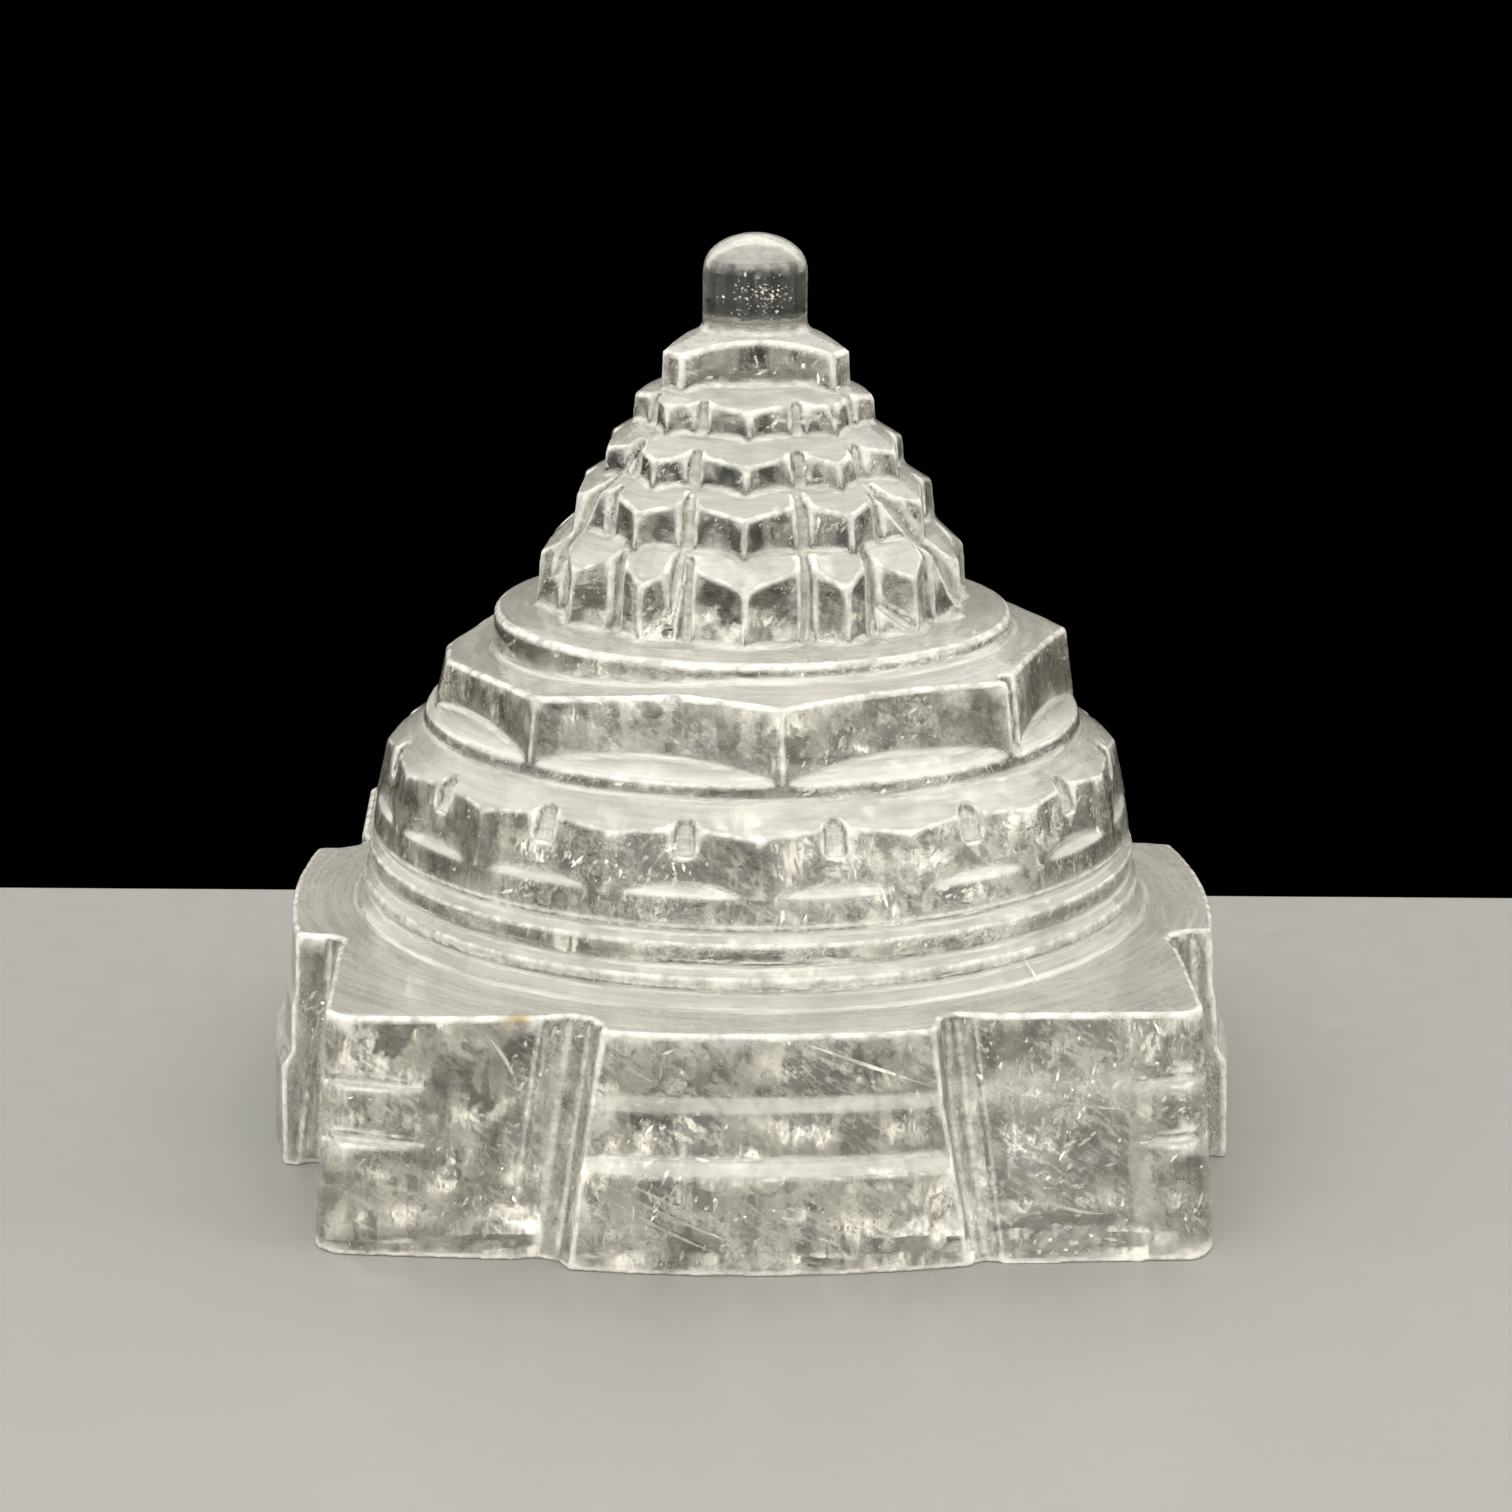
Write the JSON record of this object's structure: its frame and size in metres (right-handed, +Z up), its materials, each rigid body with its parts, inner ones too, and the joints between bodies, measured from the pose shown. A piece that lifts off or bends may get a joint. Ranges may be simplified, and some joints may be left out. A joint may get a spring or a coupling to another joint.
{
  "type": "shri yantra",
  "caption": "Clear crystal meru: a stepped square base with gates carries rings, petal tiers and tiers of triangle points up to a small domed pillar.",
  "frame": {"origin": "middle of the flat underside, on the surface that the object stands on", "axes": "+Z up the axis of the tiers to the domed pillar, -Y out of the front gate, +X out of the right gate"},
  "size_m": [0.05, 0.05, 0.0459],
  "materials": {
    "rock_crystal": "polished clear quartz with pale veils and small inclusions inside"
  },
  "bodies": {
    "root": {"crystal_meru": "rock_crystal"}
  },
  "joints": []
}
